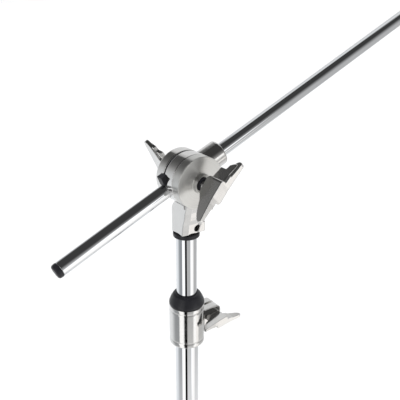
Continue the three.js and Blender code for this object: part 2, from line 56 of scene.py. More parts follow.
UP = Vector((0, 0, 1))
ACROSS = Vector((1, 0, 0))
FRONT = Vector((0, -1, 0))
REAR = -FRONT


def joint_point(name):
    return Vector(JOINTS[name]["pos_m"])


def joint_axis(name):
    return Vector(JOINTS[name]["axis"])


HEAD = joint_point("boom_tilt")
BOOM_DIR = joint_axis("boom_reach")
BOOM_ORIGIN = HEAD + Vector((0, 0.25 * MM, 0))
COLUMN = Vector((HEAD.x, HEAD.y, 0))


# ---- camera, light and floor ---------------------------------------------------------------------

VIEW_AZIMUTH = math.radians(-36.36)
VIEW_ELEVATION = math.radians(22.31)
VIEW_ROLL = math.radians(0.22)
VIEW_DISTANCE = 519.2 * MM
VIEW_OFFSET = (-12.06 * MM, 20.56 * MM)   # of the tilt axis from the middle of the picture, right and up
LENS = 54.04


def add_camera():
    bpy.context.scene.view_settings.view_transform = "Standard"
    cos_e = math.cos(VIEW_ELEVATION)
    back = Vector((math.sin(VIEW_AZIMUTH) * cos_e, -math.cos(VIEW_AZIMUTH) * cos_e,
                   math.sin(VIEW_ELEVATION)))
    level = Vector((math.cos(VIEW_AZIMUTH), math.sin(VIEW_AZIMUTH), 0))
    steep = back.cross(level)
    right = level * math.cos(VIEW_ROLL) + steep * math.sin(VIEW_ROLL)
    up = back.cross(right)
    camera = bpy.data.objects.new("camera", bpy.data.cameras.new("camera"))
    camera.data.lens = LENS
    camera.data.clip_end = 50
    place = HEAD + back * VIEW_DISTANCE - right * VIEW_OFFSET[0] - up * VIEW_OFFSET[1]
    turn = Matrix((right, up, back)).transposed().to_4x4()
    camera.matrix_world = Matrix.Translation(place) @ turn
    bpy.context.scene.collection.objects.link(camera)
    bpy.context.scene.camera = camera


class Nodes:
    """A short way to write a tree of shader nodes."""

    def __init__(self, tree):
        self.tree = tree
        tree.nodes.clear()

    def feed(self, socket, value):
        """Sets an input to a number or colour, or links another node's output to it."""
        if isinstance(value, bpy.types.NodeSocket):
            self.tree.links.new(value, socket)
        else:
            socket.default_value = value

    def add(self, kind, inputs=None, **settings):
        node = self.tree.nodes.new(kind)
        for name, value in settings.items():
            setattr(node, name, value)
        for name, value in (inputs or {}).items():
            self.feed(node.inputs[name], value)
        return node

    def math(self, operation, *values):
        return self.add("ShaderNodeMath", dict(enumerate(values)), operation=operation).outputs[0]

    def ramp(self, value, from_range, to_range=(0, 1), smooth=True):
        inputs = {"Value": value, "From Min": from_range[0], "From Max": from_range[1],
                  "To Min": to_range[0], "To Max": to_range[1]}
        kind = "SMOOTHSTEP" if smooth else "LINEAR"
        return self.add("ShaderNodeMapRange", inputs, interpolation_type=kind).outputs[0]

    def mix(self, factor, first, second):
        """A colour between first and second. The node's colour sockets are inputs 6 and 7, and output 2."""
        node = self.tree.nodes.new("ShaderNodeMix")
        node.data_type = "RGBA"
        for index, value in ((0, factor), (6, first), (7, second)):
            self.feed(node.inputs[index], value)
        return node.outputs[2]

    def colour(self, factor, light, darker):
        """A light colour and the same colour darkened, mixed by a factor."""
        dark = [darker * value for value in light]
        return self.mix(factor, (*dark, 1), (*light, 1))


def grey(level, warmth=0.0):
    return (level * (1 + warmth), level, level * (1 - warmth), 1)


# Cards of the studio round the stand: azimuth, elevation, half width, half height and softness in degrees,
# then colour. Azimuth 0 is +Y and 90 is +X. A later card covers an earlier one.
SKY_TOP, SKY_BELOW = math.radians(46), math.radians(-6)   # the studio brightens from top down to below
CARDS = (
    (0, -66, 200, 29, 12, grey(0.85)),
    (-70, -18, 60, 24, 30, grey(0.34, -0.05)),
    (10, -22, 58, 30, 44, grey(0.95, -0.025)),
    (55, 27, 42, 41, 8, grey(0.80, -0.01)),
    (55, 37, 40, 3, 4, grey(0.50)),
    (-111, -30, 15, 60, 5, grey(1.30)),
    (-139, -30, 9.5, 60, 2, grey(0.0)),
    (148, -34, 16, 15, 8, grey(1.15, 0.02)),
    (161, -14, 10, 26, 4, grey(1.30)),
)


def soft_edge(n, distance, half, soft):
    """1 where the distance is well inside half, falling to 0 outside it. Both are in degrees."""
    return n.ramp(distance, (math.radians(half + soft / 2), math.radians(half - soft / 2)))


def studio_light():
    world = bpy.data.worlds.new("studio")
    bpy.context.scene.world = world
    world.use_nodes = True
    n = Nodes(world.node_tree)
    direction = n.add("ShaderNodeTexCoord").outputs["Generated"]
    split = n.add("ShaderNodeSeparateXYZ", {0: direction})
    azimuth = n.math("ARCTAN2", split.outputs["X"], split.outputs["Y"])
    elevation = n.math("ARCSINE", split.outputs["Z"])
    colour = n.mix(n.ramp(elevation, (SKY_TOP, SKY_BELOW)), grey(0.05), grey(0.52))
    for card_azimuth, card_elevation, half_width, half_height, soft, card_colour in CARDS:
        turn = n.math("SUBTRACT", azimuth, math.radians(card_azimuth))
        turn = n.math("ABSOLUTE", n.math("WRAP", turn, math.pi, -math.pi))
        rise = n.math("ABSOLUTE", n.math("SUBTRACT", elevation, math.radians(card_elevation)))
        across = soft_edge(n, turn, half_width, soft)
        upright = soft_edge(n, rise, half_height, soft)
        colour = n.mix(n.math("MULTIPLY", across, upright), colour, card_colour)
    seen = n.add("ShaderNodeLightPath").outputs["Is Camera Ray"]
    colour = n.mix(seen, colour, (1, 1, 1, 1))
    background = n.add("ShaderNodeBackground", {"Color": colour, "Strength": 1.0})
    n.add("ShaderNodeOutputWorld", {"Surface": background.outputs[0]})


SUN_DIRECTION = Vector((0.15, 0.35, -1))
SUN_POWER = 3.0
SUN_WIDTH = math.radians(40)


def sun_light():
    """Soft light for the floor and the plastic. The metal mirrors the studio's cards instead."""
    light = bpy.data.objects.new("soft_sun", bpy.data.lights.new("soft_sun", "SUN"))
    light.data.energy = SUN_POWER
    light.data.angle = SUN_WIDTH
    light.rotation_euler = SUN_DIRECTION.to_track_quat("-Z", "Y").to_euler()
    light.visible_glossy = False
    bpy.context.scene.collection.objects.link(light)


def add_floor(material):
    mesh = bpy.data.meshes.new("floor")
    half = 12
    corners = [(-half, -half, 0), (half, -half, 0), (half, half, 0), (-half, half, 0)]
    mesh.from_pydata(corners, [], [(0, 1, 2, 3)])
    floor = bpy.data.objects.new("floor", mesh)
    bpy.context.scene.collection.objects.link(floor)
    floor.data.materials.append(material)
    floor.visible_glossy = False


# ---- materials -----------------------------------------------------------------------------------

def new_material(name):
    material = bpy.data.materials.new(name)
    material.use_nodes = True
    return material, Nodes(material.node_tree)


def surface(n, inputs, bump_height=None, bump_distance=0.00002, bump_strength=1.0):
    if bump_height is not None:
        bump = n.add("ShaderNodeBump", {"Height": bump_height, "Distance": bump_distance,
                                        "Strength": bump_strength})
        inputs["Normal"] = bump.outputs[0]
    shader = n.add("ShaderNodeBsdfPrincipled", inputs)
    n.add("ShaderNodeOutputMaterial", {"Surface": shader.outputs[0]})


def noise(n, scale, detail=3.0, vector=None):
    place = vector or n.add("ShaderNodeTexCoord").outputs["Object"]
    inputs = {"Vector": place, "Scale": scale, "Detail": detail, "Roughness": 0.6}
    return n.add("ShaderNodeTexNoise", inputs).outputs[0]


def stretched(n, axis, along):
    """Object coordinates squeezed along an axis, so that noise runs in streaks that way."""
    place = n.add("ShaderNodeTexCoord").outputs["Object"]
    scale = [1.0 - (1.0 - along) * abs(value) for value in axis]
    return n.add("ShaderNodeMapping", {"Vector": place, "Scale": scale}).outputs[0]


def chrome_material(name, axis=UP):
    """Bright chrome plate: faint drawn lines along the tube, smudges that blur it a little."""
    material, n = new_material(name)
    smudges = n.ramp(noise(n, 45.0), (0.35, 0.75), (0.02, 0.06))
    lines = noise(n, 2600.0, 2.0, stretched(n, axis, 0.01))
    tone = n.mix(noise(n, 18.0), (0.78, 0.79, 0.81, 1), (0.86, 0.87, 0.88, 1))
    surface(n, {"Base Color": tone, "Metallic": 1.0, "Roughness": smudges}, lines, 0.000004, 0.15)
    return material


def strip_material(name):
    """Chrome plate over stamped steel strip: softer than on a tube, and gently wavy."""
    material, n = new_material(name)
    tone = n.mix(noise(n, 18.0), (0.76, 0.77, 0.79, 1), (0.84, 0.85, 0.86, 1))
    roughness = n.ramp(noise(n, 60.0), (0.35, 0.75), (0.20, 0.30))
    waves = noise(n, 22.0, 1.0)
    surface(n, {"Base Color": tone, "Metallic": 1.0, "Roughness": roughness}, waves, 0.0012, 1.0)
    return material


def satin_material(name):
    """Satin nickel over a blasted casting."""
    material, n = new_material(name)
    colour = n.colour(noise(n, 60.0), (0.80, 0.79, 0.775), 0.90)
    roughness = n.ramp(noise(n, 220.0, 5.0), (0.3, 0.7), (0.10, 0.17))
    inputs = {"Base Color": colour, "Metallic": 1.0, "Roughness": roughness}
    surface(n, inputs, noise(n, 900.0, 4.0), 0.00001, 0.10)
    return material


def turned_material(name, centre):
    """Satin nickel turned on a lathe: rings about the tilt axis, and the fanned highlight they give."""
    material, n = new_material(name)
    place = n.add("ShaderNodeTexCoord").outputs["Object"]
    from_axis = n.add("ShaderNodeVectorMath", {0: place, 1: centre}, operation="SUBTRACT").outputs[0]
    flat = n.add("ShaderNodeVectorMath", {0: from_axis, 1: (1, 0, 1)}, operation="MULTIPLY").outputs[0]
    radius = n.add("ShaderNodeVectorMath", {0: flat}, operation="LENGTH").outputs["Value"]
    settings = {"W": radius, "Scale": 1700.0, "Detail": 3.0}
    rings = n.add("ShaderNodeTexNoise", settings, noise_dimensions="1D")
    colour = n.colour(n.ramp(rings.outputs[0], (0.3, 0.7)), (0.80, 0.795, 0.77), 0.88)
    tangent = n.add("ShaderNodeTangent", direction_type="RADIAL", axis="Y").outputs[0]
    roughness = n.ramp(noise(n, 60.0), (0.3, 0.7), (0.30, 0.34))
    inputs = {"Base Color": colour, "Metallic": 1.0, "Roughness": roughness, "Anisotropic": 0.8,
              "Anisotropic Rotation": 0.25, "Tangent": tangent}
    surface(n, inputs, rings.outputs[0], 0.000006, 0.06)
    return material


def steel_material(name, tone):
    """Fine-ground steel, zinc plated or blackened."""
    material, n = new_material(name)
    colour = n.colour(noise(n, 300.0), tone, 0.74)
    roughness = n.ramp(noise(n, 700.0), (0.3, 0.7), (0.18, 0.36))
    inputs = {"Base Color": colour, "Metallic": 1.0, "Roughness": roughness}
    surface(n, inputs, noise(n, 2400.0), 0.00001, 0.25)
    return material


def plastic_material(name):
    """Black moulded nylon with a fine spark-eroded texture."""
    material, n = new_material(name)
    colour = n.mix(noise(n, 90.0), (0.008, 0.008, 0.011, 1), (0.018, 0.018, 0.022, 1))
    roughness = n.ramp(noise(n, 500.0), (0.3, 0.7), (0.32, 0.48))
    inputs = {"Base Color": colour, "Roughness": roughness, "Specular IOR Level": 0.45}
    surface(n, inputs, noise(n, 3000.0, 4.0), 0.00004, 0.35)
    return material


def rubber_material(name):
    """Black rubber with pale dust in patches."""
    material, n = new_material(name)
    dust = n.ramp(noise(n, 70.0, 6.0), (0.35, 0.7))
    colour = n.mix(dust, (0.012, 0.012, 0.012, 1), (0.040, 0.039, 0.037, 1))
    roughness = n.ramp(noise(n, 260.0, 5.0), (0.3, 0.7), (0.6, 0.85))
    inputs = {"Base Color": colour, "Roughness": roughness, "Specular IOR Level": 0.3}
    surface(n, inputs, noise(n, 1800.0, 5.0), 0.00008, 0.6)
    return material


def felt_material(name):
    """Pressed grey wool: fibres as two layers of noise, with sheen."""
    material, n = new_material(name)
    fibres = noise(n, 900.0, 8.0)
    colour = n.mix(n.ramp(fibres, (0.3, 0.7)), (0.030, 0.030, 0.034, 1), (0.11, 0.11, 0.12, 1))
    inputs = {"Base Color": colour, "Roughness": 0.95, "Sheen Weight": 0.5, "Sheen Roughness": 0.5,
              "Specular IOR Level": 0.1}
    surface(n, inputs, noise(n, 1600.0, 8.0), 0.0004, 0.8)
    return material


def floor_material(name):
    material, n = new_material(name)
    tone = n.mix(noise(n, 2.0, 4.0), (0.90, 0.90, 0.90, 1), (0.93, 0.93, 0.93, 1))
    surface(n, {"Base Color": tone, "Roughness": 0.8, "Specular IOR Level": 0.0})
    return material


# ---- meshes --------------------------------------------------------------------------------------

SHARP = math.radians(32)
SUPPORT_INSET = 0.3
FINE_SEGMENTS = 160     # of the tilt discs
ROOM_SEGMENTS = 128     # of the round rooms cut for them, and of the tubes
VOXEL = 0.38            # of the remesh of most castings


def place_at(origin, z_axis, x_hint=ACROSS):
    """The matrix of a local frame: its origin in metres, its Z along z_axis and its X near x_hint."""
    z = z_axis.normalized()
    x = (x_hint - z * x_hint.dot(z)).normalized()
    y = z.cross(x)
    turn = Matrix((x, y, z)).transposed().to_4x4()
    return Matrix.Translation(origin) @ turn


def object_from(bm, name, place):
    """A mesh object whose vertices were given in millimetres in the frame at place."""
    bmesh.ops.remove_doubles(bm, verts=bm.verts, dist=1e-5)
    bmesh.ops.recalc_face_normals(bm, faces=bm.faces)
    bm.transform(place @ Matrix.Scale(MM, 4))
    mesh = bpy.data.meshes.new(name)
    bm.to_mesh(mesh)
    bm.free()
    made = bpy.data.objects.new(name, mesh)
    bpy.context.scene.collection.objects.link(made)
    return made


def shade(made, angle=SHARP):
    """Smooth shading, with edges sharper than angle kept crisp."""
    bm = bmesh.new()
    bm.from_mesh(made.data)
    for face in bm.faces:
        face.smooth = True
    for edge in bm.edges:
        edge.smooth = len(edge.link_faces) == 2 and edge.calc_face_angle(0) < angle
    bm.to_mesh(made.data)
    bm.free()
    return made


def fillet(points, radius, steps=4):
    """The outline with each inner corner rounded; a point's third value is a radius of its own."""
    made = [points[0][:2]]
    for before, corner, after in zip(points, points[1:], points[2:]):
        here = Vector(corner[:2])
        to_before = Vector(before[:2]) - here
        to_after = Vector(after[:2]) - here
        wanted = corner[2] if len(corner) > 2 else radius
        reach = min(wanted, to_before.length / 2.05, to_after.length / 2.05)
        if reach < 1e-3:
            made.append(tuple(here))
            continue
        start = here + to_before.normalized() * reach
        end = here + to_after.normalized() * reach
        for step in range(steps + 1):
            t = step / steps
            made.append(tuple(start * (1 - t) ** 2 + here * 2 * t * (1 - t) + end * t ** 2))
    made.append(points[-1][:2])
    return made


def closed_fillet(points, radius, steps=4):
    looped = [points[-1], *points, points[0]]
    return fillet(looped, radius, steps)[1:-1]


def supported(points, closed):
    """The outline with a point just inside both ends of each long side, to keep smooth shading there."""
    pairs = list(zip(points, points[1:])) + ([(points[-1], points[0])] if closed else [])
    made = []
    for start, end in pairs:
        made.append(start)
        side = Vector(end) - Vector(start)
        if side.length > 6 * SUPPORT_INSET:
            step = side.normalized() * SUPPORT_INSET
            made.append(tuple(Vector(start) + step))
            made.append(tuple(Vector(end) - step))
    return made if closed else [*made, points[-1]]


def lathe(name, profile, place, radius=0.4, segments=96):
    """Turns a profile of (radius, height) points about the local Z.

    A profile that doesn't start on the axis closes on itself, which leaves a bore. A point's third value is
    the radius of its own rounding.
    """
    on_axis = profile[0][0] == 0
    points = fillet(profile, radius) if on_axis else closed_fillet(profile, radius)
    points = supported(points, not on_axis)
    bm = bmesh.new()
    rings = []
    for r, z in points:
        if r < 1e-6:
            rings.append([bm.verts.new((0, 0, z))] * segments)
            continue
        angles = (2 * math.pi * i / segments for i in range(segments))
        rings.append([bm.verts.new((r * math.cos(a), r * math.sin(a), z)) for a in angles])
    pairs = list(zip(rings, rings[1:])) + ([] if on_axis else [(rings[-1], rings[0])])
    for low, high in pairs:
        for i in range(segments):
            j = (i + 1) % segments
            corners = list(dict.fromkeys((low[i], low[j], high[j], high[i])))
            if len(corners) > 2:
                bm.faces.new(corners)
    return shade(object_from(bm, name, place))


def loft(name, sections, place):
    """Skins closed sections of (x, y, z) points, as many in each, and caps both ends."""
    bm = bmesh.new()
    rings = [[bm.verts.new(point) for point in section] for section in sections]
    bm.faces.new(rings[0][::-1])
    bm.faces.new(rings[-1])
    for low, high in zip(rings, rings[1:]):
        for i in range(len(low)):
            j = (i + 1) % len(low)
            bm.faces.new((low[i], low[j], high[j], high[i]))
    return object_from(bm, name, place)


def prism(name, outline, low, high, place):
    """Extrudes a closed outline of (x, y) points from low to high along the local Z."""
    return loft(name, [[(x, y, z) for x, y in outline] for z in (low, high)], place)


def bar(name, low, high, place):
    """A block from one (x, y, z) corner to the other."""
    corners = [(low[0], low[1]), (high[0], low[1]), (high[0], high[1]), (low[0], high[1])]
    return prism(name, corners, low[2], high[2], place)


def rod(name, radius, low, high, place, segments=64, round_by=0.0):
    return lathe(name, [(0, low), (radius, low), (radius, high), (0, high)], place, round_by, segments)


def apply_modifiers(made):
    graph = bpy.context.evaluated_depsgraph_get()
    mesh = bpy.data.meshes.new_from_object(made.evaluated_get(graph))
    made.modifiers.clear()
    made.data = mesh
    return made


def modify(made, kind, **settings):
    modifier = made.modifiers.new(kind.lower(), kind)
    for name, value in settings.items():
        setattr(modifier, name, value)


def discard(*objects):
    for unwanted in objects:
        bpy.data.objects.remove(unwanted)


def merged(name, parts):
    """One object holding every part's mesh."""
    bm = bmesh.new()
    for part in parts:
        bm.from_mesh(part.data)
    discard(*parts)
    mesh = bpy.data.meshes.new(name)
    bm.to_mesh(mesh)
    bm.free()
    made = bpy.data.objects.new(name, mesh)
    bpy.context.scene.collection.objects.link(made)
    return made


def boolean(made, others, operation="DIFFERENCE"):
    for other in others:
        modify(made, "BOOLEAN", operation=operation, object=other, solver="MANIFOLD")
    apply_modifiers(made)
    discard(*others)


def cast(name, parts, holes=(), voxel=VOXEL, soften=4):
    """Joins parts, cuts holes, then rounds every edge a little, as a casting's are."""
    made = parts[0]
    made.name = name
    if len(parts) > 1:
        boolean(made, parts[1:], "UNION")
    if holes:
        boolean(made, list(holes))
    modify(made, "REMESH", mode="VOXEL", voxel_size=voxel * MM)
    modify(made, "SMOOTH", factor=0.5, iterations=soften)
    apply_modifiers(made)
    for face in made.data.polygons:
        face.use_smooth = True
    return made


def bevelled(made, width):
    shade(made)
    modify(made, "BEVEL", width=width * MM, segments=3, limit_method="ANGLE", angle_limit=SHARP,
           harden_normals=True)
    return apply_modifiers(made)


def hexagon(radius):
    corners = (math.radians(60 * i) for i in range(6))
    return [(radius * math.cos(angle), radius * math.sin(angle)) for angle in corners]


def finish(made, material, node):
    """Gives a piece its material, and puts it on the body of the CAD node that it stands for."""
    made.data.materials.clear()
    made.data.materials.append(material)
    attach(made, BODY_OF[node])
    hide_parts(node)


# ---- frames of the head, the column and the boom -------------------------------------------------

FRONT_FRAME = place_at(HEAD, FRONT)                   # x across, y up, z to the front
SIDE_FRAME = place_at(HEAD, -ACROSS, FRONT)           # x to the front, y up, z to the left
HEAD_FRAME = Matrix.Translation(HEAD)
COLUMN_FRAME = Matrix.Translation(COLUMN)
BOOM_FRAME = place_at(BOOM_ORIGIN, BOOM_DIR, REAR)    # x to the rear, y up, z along the boom
TILTED_FRAME = place_at(HEAD, FRONT, BOOM_DIR)        # x along the boom, y up, z to the front
ACROSS_TURN = Matrix.Rotation(math.pi / 2, 4, "X")    # turns a frame's Z to its old -Y


def moved(place, x=0, y=0, z=0):
    return place @ Matrix.Translation(Vector((x, y, z)) * MM)


THREAD_PITCH = 1.25
THREAD_DEPTH = 0.55
THREAD_ROWS = 8          # of vertices to one pitch
THREAD_SEGMENTS = 40
THREAD_SHARP = math.radians(60)


def thread_radius(radius, z, turn, run_out):
    """The radius of a thread with flat crests at height z and a part turn from 0 to 1."""
    phase = (z / THREAD_PITCH - turn) % 1.0
    cut = THREAD_DEPTH * min(1.0, max(0.0, 1.6 - 3.2 * abs(phase - 0.5)))
    return radius - THREAD_DEPTH + (THREAD_DEPTH - cut) * run_out


def threaded(name, radius, low, high, place):
    """A screw thread, run out over one pitch at both ends."""
    rows = int((high - low) / THREAD_PITCH * THREAD_ROWS)
    sections = []
    for row in range(rows + 1):
        z = low + (high - low) * row / rows
        run_out = min(1.0, (z - low) / THREAD_PITCH, (high - z) / THREAD_PITCH)
        section = []
        for i in range(THREAD_SEGMENTS):
            r = thread_radius(radius, z, i / THREAD_SEGMENTS, run_out)
            angle = 2 * math.pi * i / THREAD_SEGMENTS
            section.append((r * math.cos(angle), r * math.sin(angle), z))
        sections.append(section)
    return shade(loft(name, sections, place), THREAD_SHARP)


# ---- wing screws ---------------------------------------------------------------------------------

CLAMP_SCREW = 3.0     # radius of the small wing screws
SMALL_WING_SCALE = 0.72
# Half of the grip's outline from the side: (along the wing, away from the part).
WING_SIDE = ((0, 0), (6, 0), (10, 2.6), (14, 5.8), (20, 8.4), (25, 11.2), (29, 14.6), (30.2, 16.6),
             (29.8, 18.6), (28.2, 19.8), (19, 19.0), (12, 18.4), (7, 18.1), (0, 18.1))
# Half of its outline from the front: (along the wing, across it). The other half is this one turned round.
WING_FACE = ((-30.4, 0.8), (6, 6.6), (7.7, 6.2), (8.6, 5.0), (8.6, 2.4), (15, 3.1), (16, 2.0), (24, 2.2),
             (29.8, 2.6), (30.4, 1.2))
# Stepped rib behind the wing on +X, from the side.
WING_RIB = ((6, 0.5), (15, 1.6), (19.6, 2.2), (19.6, 8.6), (24, 9.6), (26.4, 13.4), (26.4, 17), (6, 14))


def wing_grip_mesh(ribbed):
    """The two-winged grip at the origin: wings along X, and Z the screw's axis, away from the part."""
    outline = [*WING_SIDE, *[(-x, z) for x, z in WING_SIDE[-2:0:-1]]]
    grip = prism("wing_grip", outline, -10, 10, ACROSS_TURN)
    face = [*WING_FACE, *[(-x, -y) for x, y in WING_FACE]]
    boolean(grip, [prism("wing_face", face, -1, 24, Matrix.Identity(4))], "INTERSECT")
    ribs = [prism("wing_rib", WING_RIB, -3.1, 0, ACROSS_TURN)] if ribbed else []
    made = cast("wing_grip", [grip, *ribs], voxel=0.33, soften=3)
    mesh = made.data.copy()
    discard(made)
    return mesh


def wing_hub(node, place, radius, low, high, metal):
    """The round hub of a wing nut, with a grooved foot."""
    hub = lathe(node + "_hub", [(0, low), (radius + 0.6, low, 0.4), (radius + 0.6, low + 1.6, 0.4),
                                (radius, low + 1.8, 0.2), (radius, high, 0.8), (0, high)], place, 0.2, 64)
    finish(hub, metal, node)


def wing_grip(node, mesh, place, angle, scale, metal):
    """A copy of the grip. The angle of its wings is measured about the place's Z from its X."""
    grip = bpy.data.objects.new(node + "_grip", mesh.copy())
    bpy.context.scene.collection.objects.link(grip)
    grip.data.transform(place @ Matrix.Rotation(angle, 4, "Z") @ Matrix.Scale(scale, 4))
    finish(grip, metal, node)


def wing_bolt(node, radius, low, high, place, steel):
    finish(threaded(node + "_bolt", radius, low, high, place), steel, node)


def clamp_screw(node, mesh, place, low, satin, steel, angle=0, scale=SMALL_WING_SCALE):
    """A small wing screw whose bolt starts at low, below the foot of its grip."""
    wing_grip(node, mesh, place, angle, scale, satin)
    wing_bolt(node, CLAMP_SCREW, low, 1, place, steel)


# ---- the tilt head -------------------------------------------------------------------------------

# Fronts, backs, ends and grips are distances from the tilt axis, along it or along the boom.
DISC_RADIUS = 23.2
DISC_ROOM = 23.8
EAR_BACK, EAR_FRONT = 13.2, 22.0
BOSS_RADIUS, BOSS_BORE, BOSS_FRONT, BOSS_FLOOR = 8.5, 7.2, 26.4, 24.0
BOOM_RADIUS, BOOM_CHANNEL = 6.35, 6.65
SLEEVE_RADIUS, SLEEVE_END = 11.6, 39
SHANK_ROOM, EYE_ROOM = 4.3, 10.0     # radii of the rooms for the eye bolt
TILT_WINGS = math.radians(42)
BOOM_WINGS = math.radians(124)
TILT_SCREW, TILT_SCREW_END, TILT_GRIP = 4.0, -20.6, 30.8
BOOM_GRIP, BOOM_HUB_RADIUS, BOOM_HUB_LENGTH = 20.8, 6.9, 8.0
NECK_HALF_WIDTH = 10.3
NECK_REAR = 7.9
NECK_BOTTOM = -52.0
SPIGOT_RADIUS, SPIGOT_LENGTH = 8.1, 28
SET_SCREW_X, SET_SCREW_Y, SET_SCREW_RADIUS, HEXAGON_RADIUS = 4.6, -46.5, 3.0, 2.1
RECESS_BORE = 4.3
RIB_HALF_WIDTH = 4.7
RIB_HEIGHT = 2.0
# Outline of the step and the chamfer high on the neck's cheek, from the left: (to the front, up).
CORNER = ((-12, -31), (-7.9, -28.2), (-5.6, -24.4), (-3.6, -22), (-3, -8), (-12, -8))
# Front edge of the neck's side faces: (height, distance to the front).
NECK_FRONT = ((-52, 8.0), (-46, 8.9), (-41, 9.7), (-37, 11.3), (-33, 12.2), (-29, 12.9), (-24, 14.4),
              (-17, 17.0), (-10, 18.6))
SET_SCREW_FRAME = moved(FRONT_FRAME, SET_SCREW_X, SET_SCREW_Y)


def neck_section(height, front):
    """One level of the neck: flat cheeks, a flat rear, and a raised rib with sloping sides in front."""
    rib = front + RIB_HEIGHT
    left = [(-NECK_HALF_WIDTH, NECK_REAR), (-NECK_HALF_WIDTH, -front), (-RIB_HALF_WIDTH, -rib)]
    right = [(-x, y) for x, y in left[::-1]]
    return [(x, y, height) for x, y in left + right]


def add_neck(satin):
    neck = loft("neck", [neck_section(*level) for level in NECK_FRONT], HEAD_FRAME)
    screw_boss = bar("screw_boss", (-1, -9.4, NECK_BOTTOM), (14, 0, -42.5), HEAD_FRAME)
    spigot = rod("spigot", SPIGOT_RADIUS, NECK_BOTTOM - SPIGOT_LENGTH, NECK_BOTTOM + 2, HEAD_FRAME)
    disc_room = rod("disc_room", DISC_ROOM, -30, EAR_BACK - 0.1, FRONT_FRAME, ROOM_SEGMENTS)
    corner = prism("corner", CORNER, -14, 14, SIDE_FRAME)
    notch = bar("notch", (-12, -13.2, -24.6), (-8.2, -11.4, -20), HEAD_FRAME)
    socket = rod("socket", SET_SCREW_RADIUS + 0.3, 3.7, 14, SET_SCREW_FRAME)
    made = cast("bracket_neck", [neck, screw_boss, spigot], [disc_room, corner, notch, socket], 0.34)
    finish(made, satin, "tilt_bracket")


def add_ear(turned):
    """The bracket's round ear: a groove round its rim, and the boss with the recess of the tilt screw."""
    rim = DISC_RADIUS - 0.35
    ear = lathe("bracket_ear", [
        (RECESS_BORE, EAR_BACK), (DISC_RADIUS, EAR_BACK, 0.35), (DISC_RADIUS, EAR_FRONT - 0.5, 0.2),
        (rim, EAR_FRONT - 0.5, 0.1), (rim, EAR_FRONT, 0.2),
        (BOSS_RADIUS + 0.3, EAR_FRONT, 0.4), (BOSS_RADIUS, BOSS_FRONT, 0.4),
        (BOSS_BORE, BOSS_FRONT, 0.3), (BOSS_BORE, BOSS_FLOOR, 0.3), (RECESS_BORE, BOSS_FLOOR),
    ], FRONT_FRAME, 0.2, FINE_SEGMENTS)
    finish(ear, turned, "tilt_bracket")


def add_bracket_parts(black_steel, plastic):
    """The washer in the ear's recess, the set screw in the neck, and the collar below it."""
    washer = lathe("recess_washer", [(RECESS_BORE, 24.3), (6.3, 24.3), (6.3, 27.2), (RECESS_BORE, 27.2)],
                   FRONT_FRAME, 0.3)
    finish(washer, plastic, "tilt_washer")

    set_screw = rod("hex_set_screw", SET_SCREW_RADIUS, 1.5, 8.0, SET_SCREW_FRAME, 48, 0.4)
    boolean(set_screw, [prism("hexagon", hexagon(HEXAGON_RADIUS), 3.0, 12, SET_SCREW_FRAME)])
    finish(shade(set_screw), black_steel, "bracket_set_screw")

    ring = lathe("neck_collar", [
        (12.1, -56.5, 1.2), (12.1, -52.3, 0.5), (8.4, -52.3), (8.4, -54.3), (9.73, -54.3),
        (9.73, -56.5, 0.4),
    ], HEAD_FRAME, 0.1)
    finish(ring, plastic, "neck_ring")


def liner_room(grow):
    """The room of the liner's block, in the discs' edge just above the boom's rear arm."""
    low = (-DISC_RADIUS - 0.3 - grow, BOOM_CHANNEL - grow, -3.8 - grow)
    high = (-18 + grow, 15 + grow, 3.4 + grow)
    return bar("liner_block", low, high, TILTED_FRAME)


def boom_room(radius=BOOM_CHANNEL, low=-60, high=60):
    return rod("boom_room", radius, low, high, BOOM_FRAME)


def add_clamp_front(satin):
    """The middle disc with the boom's sleeve."""
    front = lathe("front_half", [(0, 0.7), (DISC_RADIUS, 0.7, 0.5), (DISC_RADIUS, 12.8, 0.5), (0, 12.8)],
                  FRONT_FRAME, 0.3, FINE_SEGMENTS)
    arm = lathe("arm", [(0, 14), (SLEEVE_RADIUS, 14), (SLEEVE_RADIUS, SLEEVE_END, 1.6), (0, SLEEVE_END)],
                BOOM_FRAME, 0.2)
    rear_room = rod("rear_room", DISC_RADIUS + 0.4, -20, 0.65, FRONT_FRAME, ROOM_SEGMENTS)
    made = cast("clamp_front_half", [front, arm], [rear_room, boom_room(), liner_room(0.3)], 0.32, 3)
    finish(made, satin, "boom_clamp_front")


def add_clamp_rear(satin):
    rear = lathe("rear_half", [(0, -12.3), (DISC_RADIUS, -12.3, 1.6), (DISC_RADIUS, -1.3, 0.5), (0, -1.3)],
                 FRONT_FRAME, 0.3, FINE_SEGMENTS)
    shank_room = rod("shank_room", SHANK_ROOM, -14, 0, FRONT_FRAME)
    made = cast("clamp_rear_half", [rear], [boom_room(), liner_room(0.3), shank_room], 0.32, 3)
    finish(made, satin, "boom_clamp_rear")


def add_clamp_liner(plastic):
    """The upper half of a thin disc between the clamp's halves, and its block in the discs' edge."""
    liner = rod("liner_ring", DISC_RADIUS - 0.4, -1.0, 0.4, FRONT_FRAME, ROOM_SEGMENTS)
    lower = bar("lower_room", (-30, -30, -20), (30, BOOM_CHANNEL + 0.3, 20), TILTED_FRAME)
    boolean(liner, [lower, boom_room(EYE_ROOM, -5, 5)])
    made = cast("clamp_liner", [liner, liner_room(0)], (), 0.28, 3)
    finish(made, plastic, "boom_liner")


